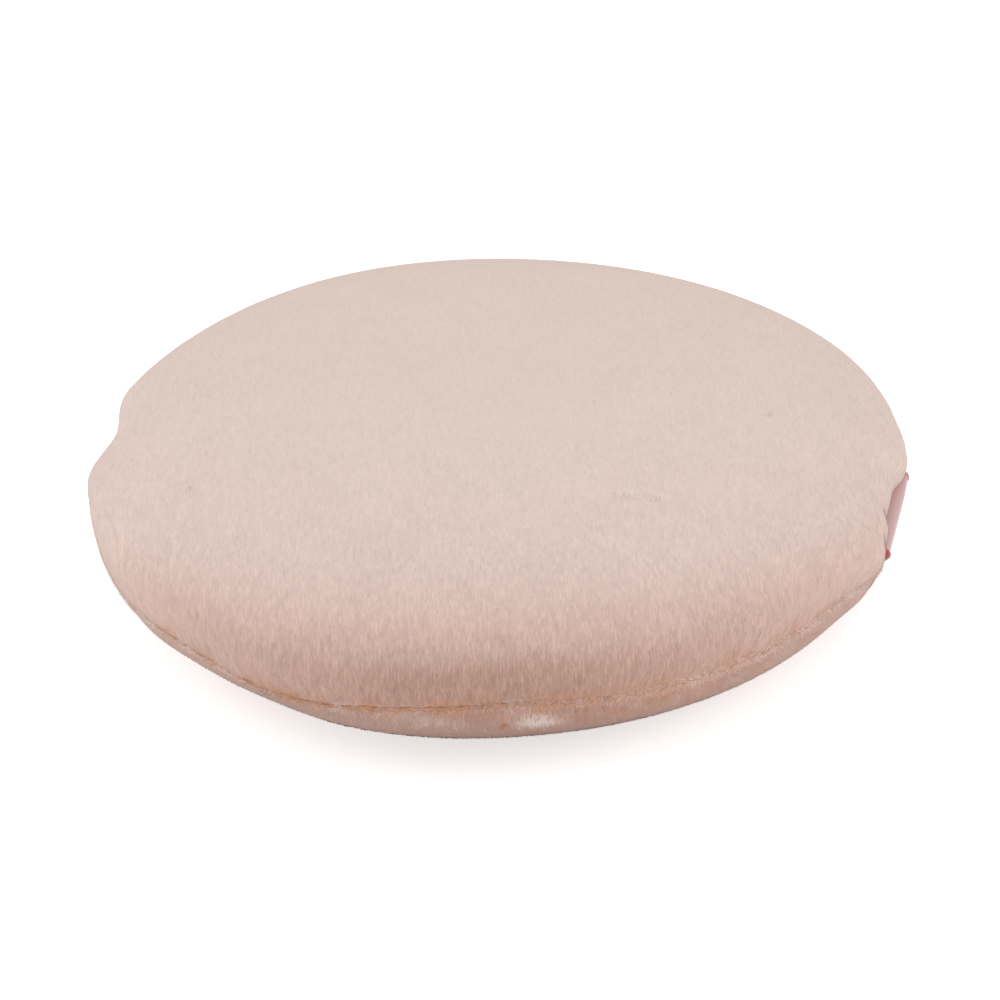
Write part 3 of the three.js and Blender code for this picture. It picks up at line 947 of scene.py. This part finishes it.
# %% Satin
SATIN = (0.50, 0.305, 0.295, 1), (0.62, 0.41, 0.40, 1)
SELVEDGE, RED = (0.44, 0.22, 0.20, 1), (0.42, 0.055, 0.075, 1)
satin, tree, shader = new_material("satin")
along, across, red = (point_value(tree, name) for name in ("along", "across", "red"))
drawn_out = added(tree, "CombineXYZ", X=sums(tree, "MULTIPLY", along, 0.25),
                  Y=sums(tree, "MULTIPLY", across, 4.0)).outputs["Vector"]
floats = noise(tree, 1.0, 3.0, drawn_out)
edge = added(tree, "MapRange", Value=sums(tree, "ABSOLUTE", across), From_Min=6.5, From_Max=7.1)
edge.interpolation_type = "SMOOTHSTEP"
body = mixed(tree, edge.outputs["Result"], mixed(tree, floats, *SATIN), SELVEDGE)
filled(shader, Base_Color=mixed(tree, red, body, RED), Roughness=0.42, Sheen_Weight=0.2,
       Normal=bumps(tree, floats, 0.35, 0.00006))
print("satin has", len(tree.nodes), "nodes")

# %% The two halves
for name, side in (("band_right", 1), ("band_left", -1)):
    (outer, inner), band_along, band_across, corner = band_half(side)
    rosy = 0.12 * smooth(0.0, 0.9, band_across) * smooth(6.5, 8.5, outer[..., 2]) * (side > 0)
    values = {"along": band_along[:, None], "across": band_across * BAND_WIDTH / 2,
              "red": corner + rosy}
    values = {key: np.broadcast_to(value, (2, *outer.shape[:2])) for key, value in values.items()}
    half = piece(name, *closed(outer, inner, -side), satin, **values)
    half.data.set_sharp_from_angle(angle=np.radians(50))
    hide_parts("finger_band")
    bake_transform(half)

# %% [markdown]
# ## Seam thread
# Where the two turned edges meet, the sewing thread shows as a tan line, broken and hairy, with
# slanting loops from one edge to the other. The line is made of short stitches, tubes that dip
# into the cloth at both ends, at uneven heights and thicknesses. The loops are short arched
# tubes at uneven places, too fine to throw a shadow.

# %% Thread material
thread_material, tree, shader = new_material("thread")
slubs = noise(tree, 900.0, 3.0)
filled(shader, Base_Color=mixed(tree, slubs, (0.36, 0.16, 0.085, 1), (0.58, 0.32, 0.20, 1)),
       Normal=bumps(tree, slubs, 0.5, 0.0001), Roughness=0.85, Sheen_Weight=0.2)
print("thread has", len(tree.nodes), "nodes")

# %% Tubes of thread
ASKEW = np.array([0.13, 0.21, 0.97])


def seam_ring(angle, height, radius):
    """Points on the seam at a height from its middle and a radius, drawn in and settled."""
    return settled(turned(radius, SEAM_Z + height, angle))


def threads(name, paths, taper, sides):
    """A piece of closed tubes along paths, an array of tubes by steps by three: circles square to
    the way, as thick at each step as the taper says, and a fan at each end."""
    count, steps = paths.shape[:2]
    way = unit(np.gradient(paths, axis=1))
    first = unit(np.cross(way, ASKEW))
    second = np.cross(way, first)
    t = np.linspace(0, 2 * np.pi, sides, endpoint=False)[:, None]
    ring = first[..., None, :] * np.cos(t) + second[..., None, :] * np.sin(t)
    points = paths[..., None, :] + taper[..., None, None] * ring
    i = np.arange(count * steps * sides).reshape(count, steps, sides)
    j = np.roll(i, -1, 2)
    walls = joined(i[:, :-1], j[:, :-1], j[:, 1:], i[:, 1:]).reshape(-1, 4)
    fans = joined(i[..., :1] + 0 * i[..., 2:], i[..., 2:], i[..., 1:-1])
    starts, ends = fans[:, 0].reshape(-1, 3), fans[:, -1].reshape(-1, 3)[:, [0, 2, 1]]
    tris = np.concatenate([halved(walls), starts, ends])
    made = piece(name, points, tris, thread_material)
    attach(made, "pad")
    return made


def strewn(dice, count, wander):
    """Directions round the rim in uneven steps, as a column, less those at the ends of the band."""
    angle = 2 * np.pi * (np.arange(count) + dice.uniform(-wander, wander, count)) / count
    return angle[np.abs(RIM * np.sin(angle)) > BAND_WIDTH / 2 + 0.5][:, None]


print("the seam is", round(2 * np.pi * RIM), "mm round")

# %% The seam line
SHORT_STITCHES, STITCH_SIDES = 330, 7
dice = np.random.default_rng(70)
start = strewn(dice, SHORT_STITCHES, 0.5)
some = lambda low, high: dice.uniform(low, high, start.shape)
t = np.linspace(-1, 1, 13)
angle = start + some(0.35, 1.2) / RIM * t
x, y = round_rim(angle)
height = 0.15 * soft_noise(x, y, 2.1, 31) + some(-0.13, 0.13) + some(-0.12, 0.12) * t
radius = RIM + lobes(angle, (0.38, -96, 37)) + some(-0.2, 0.2) - 0.25 * t * t
slubby = 1 + 0.3 * soft_noise(x, y, 0.5, 34)
taper = some(0.06, 0.17) * (0.25 + 0.75 * np.sqrt(1 - t * t)) * slubby
threads("seam_line", seam_ring(angle, height, radius), taper, STITCH_SIDES)
print("the seam shows", len(start), "stitches")

# %% The slanting loops
LOOPS, LOOP_SIDES, LOOP_RADIUS = 420, 5, 0.05
dice = np.random.default_rng(77)
start = strewn(dice, LOOPS, 0.4)
t = np.linspace(0, 1, 9)
reach = some(0.4, 0.95) * np.where(dice.random(start.shape) < 0.5, 1, -1)
slant, low = some(-1, 1) * 0.022, some(0.25, 0.6)
angle = start + slant * (t - 0.5) + 0.006 * np.sin(2 * np.pi * t)
height = reach * 0.9 * (t - 0.5) - 0.35 * low
arch = 0.25 * np.sin(np.pi * t) * (0.7 + 0.6 * low)
radius = RIM + lobes(angle, (0.3, -90, 60), (0.3, -48, 28)) + arch
taper = LOOP_RADIUS * (0.35 + 0.65 * np.sin(np.pi * t))
loops = threads("seam_loops", seam_ring(angle, height, radius), taper[None], LOOP_SIDES)
loops.visible_shadow = loops.visible_diffuse = False

# %% [markdown]
# The thread ends in a small knot, which has worked out of the seam at the front and lies on the
# back cover. It is a tangle: waves of different lengths across, along and off the cloth.

# %% The knot
KNOT_ANGLE, KNOT_Z, KNOT_STEPS, KNOT_SIDES = np.radians([-76.9]), 6.55, 300, 6
knot_s = np.interp(KNOT_Z, back_cloth["z"], back_cloth["s"])
knot = knot_s * np.cos(KNOT_ANGLE), knot_s * np.sin(KNOT_ANGLE)
off_cloth = skin_normal(back_cloth, *knot)
sideways = unit(np.cross(off_cloth, [0, 0, 1.0]))
t = np.linspace(0, 2 * np.pi, KNOT_STEPS)[:, None]
tangle = (skin(back_cloth, *knot)
          + sideways * (0.2 * np.sin(5 * t) + 0.13 * np.sin(11 * t + 2))
          + np.cross(sideways, off_cloth) * (0.24 * np.sin(7 * t + 1) + 0.14 * np.sin(13 * t))
          + off_cloth * (0.08 + 0.1 * np.sin(3 * t)))
taper = 0.045 * smooth(0, 0.4, t) * (1 - smooth(5.9, 6.3, t)) + 0.015
threads("seam_knot", tangle[None], taper.T, KNOT_SIDES)

# %% [markdown]
# Sewing roughens the cut edges, and short hairs stand out of the whole seam and fill its groove,
# furthest on the right. They are the same spikes as the pile and wear its colours, part tan, but
# they have their roots between the two covers and loose directions.

# %% Fuzz in the seam
FUZZ, FUZZ_WIDTH, FUZZ_RIDGE, FUZZ_ROOT_R = 40000, 0.042, 0.025, 39.25
dice = np.random.default_rng(88)
angle = 2 * np.pi * dice.random(FUZZ)
x, y = round_rim(angle)
thin = 0.35 + 0.65 * smooth(-0.3, 0.5, soft_noise(x, y, 1.7, 35))
angle = angle[(dice.random(angle.size) < thin) & (np.abs(y) > BAND_WIDTH / 2 + 0.3)]
count = angle.size
height = dice.uniform(-0.75, 0.42, count)
inside = FUZZ_ROOT_R + lobes(angle, (0.25, -42, 30))
far = dice.uniform(0.3, 0.9, count)
tip_angle = angle + 0.45 * far * dice.normal(size=count) / RIM
tip_height = height - 0.25 * far + 0.4 * far * dice.normal(size=count)
outward = joined(np.cos(angle), np.sin(angle), 0 * angle)
# As on the pile, up falls round the front: painted shade.
seam_fuzz = hair_piece(
    "seam_fuzz", face_velour, seam_ring(angle, height, inside),
    seam_ring(tip_angle, tip_height, inside + 0.5 * far), outward,
    np.full(count, FUZZ_WIDTH), np.full(count, FUZZ_RIDGE), unit(outward + [0, 0, 0.3]),
    up=(1.05 - front_shade(angle) * dice.uniform(0.35, 1.05, count)).clip(0, 1),
    tone=0.15 * dice.normal(size=count).clip(-2, 2),
    tan=dice.uniform(0.2, 1.0, count) * seam_tan(angle), pale=0 * far)
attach(seam_fuzz, "pad")

# %% [markdown]
# ## What stays from the CAD model
# The stitches inside the seam and the two caught ends of the band keep their CAD shapes, which
# are right as they are. CAD nodes don't have the values that satin reads, so the ends have a
# plain satin on Object coordinates.

# %% Finishes for the CAD nodes
end_satin, tree, shader = new_material("satin_end")
filled(shader, Base_Color=mixed(tree, noise(tree, 2500.0, 2.0), *SATIN), Roughness=0.42)
for name, material in (("band_end_left", end_satin), ("band_end_right", end_satin),
                       ("seam_thread", thread_material)):
    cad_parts[name].data.materials.clear()
    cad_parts[name].data.materials.append(material)
    print(name, "wears", material.name)

# %% [markdown]
# ## Floor and light
# The puff lies on a plain white floor in even studio light: a white dome, and four weak lamps,
# one overhead and three low ones on the left, on the right and in front. Where the floor is seen
# directly it glows a little, so that it reads as white paper and still takes the puff's shadow.
# The dome is brighter where it is seen, too.

# %% Floor
FLOOR_REACH, FLOOR_Z = 3000.0, -0.02


def seen_directly(tree):
    """1 for rays from the camera, off glossy surfaces and through clear ones, or else 0."""
    path = added(tree, "LightPath").outputs
    seen = sums(tree, "MAXIMUM", path["Is Camera Ray"], path["Is Glossy Ray"])
    return sums(tree, "MAXIMUM", seen, path["Is Transmission Ray"])


paper, tree, shader = new_material("paper")
glow = sums(tree, "MULTIPLY", seen_directly(tree), 0.5)
filled(shader, Base_Color=(0.9, 0.9, 0.9, 1), Roughness=1.0, Specular_IOR_Level=0.0,
       Emission_Color=(1, 1, 1, 1), Emission_Strength=glow)
corners = np.array([[-1, -1], [1, -1], [1, 1], [-1, 1]]) * FLOOR_REACH
floor = piece("floor", np.c_[corners, np.full(4, FLOOR_Z)], np.array([[0, 1, 2, 3]]), paper)

# %% Light
DOME, DOME_SEEN = 0.735, 0.265
LAMPS = {"overhead": ((0.0, 0.12, 0.88), 0.4, 0.5), "left": ((-0.8, 0.15, 0.35), 0.5, 1.6),
         "right": ((0.8, 0.15, 0.35), 0.5, 1.5), "front": ((0.1, -0.9, 0.35), 0.5, 2.0)}
scene.world = world = bpy.data.worlds.new("studio")
world.use_nodes = True
tree = world.node_tree
glow = sums(tree, "ADD", sums(tree, "MULTIPLY", seen_directly(tree), DOME_SEEN), DOME)
filled(tree.nodes["Background"], Color=(1, 1, 1, 1), Strength=glow)

for name, (spot, size, power) in LAMPS.items():
    lamp = bpy.data.lights.new(name, "AREA")
    lamp.size, lamp.energy = size, power
    back = unit(np.array(spot))
    side = unit(np.cross([0, 1.0, 0], back))
    placed(name, lamp, (side, np.cross(back, side), back), spot)
    print(name, "of", power, "watts")
